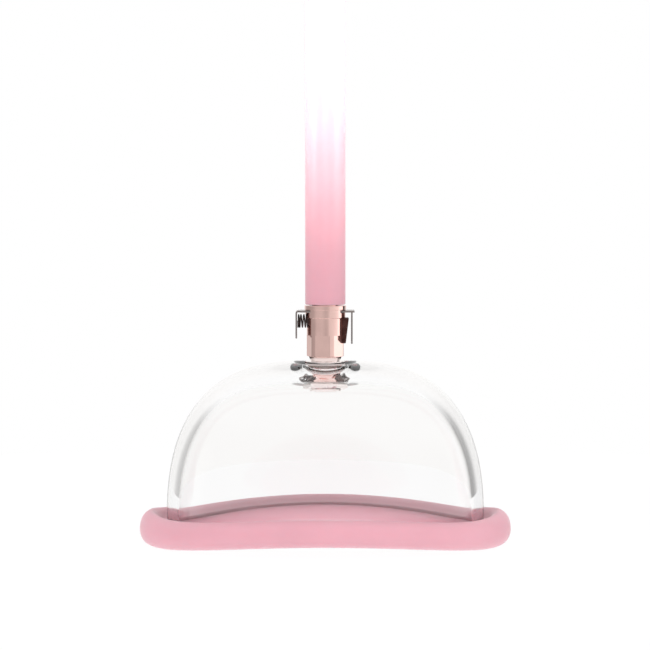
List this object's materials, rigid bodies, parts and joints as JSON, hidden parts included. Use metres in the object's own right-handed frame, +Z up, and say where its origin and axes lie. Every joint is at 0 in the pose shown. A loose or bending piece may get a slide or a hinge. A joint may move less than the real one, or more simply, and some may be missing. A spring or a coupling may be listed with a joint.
{
  "type": "oval suction cup",
  "caption": "Clear oval suction cup with a saddle-shaped silicone flange, a metal quick-release coupling with a sliding thumb latch on its crown, and a silicone hose to the hand pump.",
  "frame": {"origin": "Centre of the flange's level feet, on the surface that the cup stands on.", "axes": "+X along the long side of the oval, from the thumb leg of the latch to its stop leg; +Z up the coupling and the hose; +Y away from the viewer."},
  "size_m": [0.1202, 0.0802, 0.1962],
  "materials": {
    "clear_acrylic": "clear, polished",
    "pink_silicone": "satin silicone",
    "rose_gold": "brass with a polished rose-gold plating",
    "pale_silicone": "translucent silicone",
    "spring_steel": "dark drawn wire",
    "bright_steel": "sprung sheet steel, plated",
    "seal_rubber": "black nitrile",
    "nylon": "natural nylon"
  },
  "bodies": {
    "cup": {"cup_dome": "clear_acrylic", "silicone_flange": "pink_silicone", "coupling_body": "rose_gold", "crown_seal": "pale_silicone", "nut_washer": "nylon", "lock_nut": "rose_gold", "valve_retainer": "rose_gold", "valve_spring": "spring_steel", "latch_spring": "spring_steel"},
    "latch": {"latch_plate": "bright_steel"},
    "valve": {"valve_poppet": "nylon", "valve_seal": "seal_rubber"},
    "hose_end": {"hose_plug": "rose_gold", "plug_seal": "seal_rubber", "hose": "pink_silicone", "pump_connector": "rose_gold", "connector_seal": "seal_rubber"}
  },
  "joints": [
    {"name": "latch_press", "type": "slide", "parent": "cup", "child": "latch", "axis": [1, 0, 0], "range_m": [0, 0.0012], "stiffness_N_per_m": 800, "springref_m": -0.002, "deforming": ["latch_spring"]},
    {"name": "hose_swivel", "type": "hinge", "parent": "cup", "child": "hose_end", "pos_m": [0, 0, 0.0774], "axis": [0, 0, 1], "continuous": true},
    {"name": "valve_travel", "type": "slide", "parent": "cup", "child": "valve", "axis": [0, 0, 1], "range_m": [-0.0006, 0], "stiffness_N_per_m": 150, "springref_m": 0.004, "deforming": ["valve_spring"]}
  ]
}
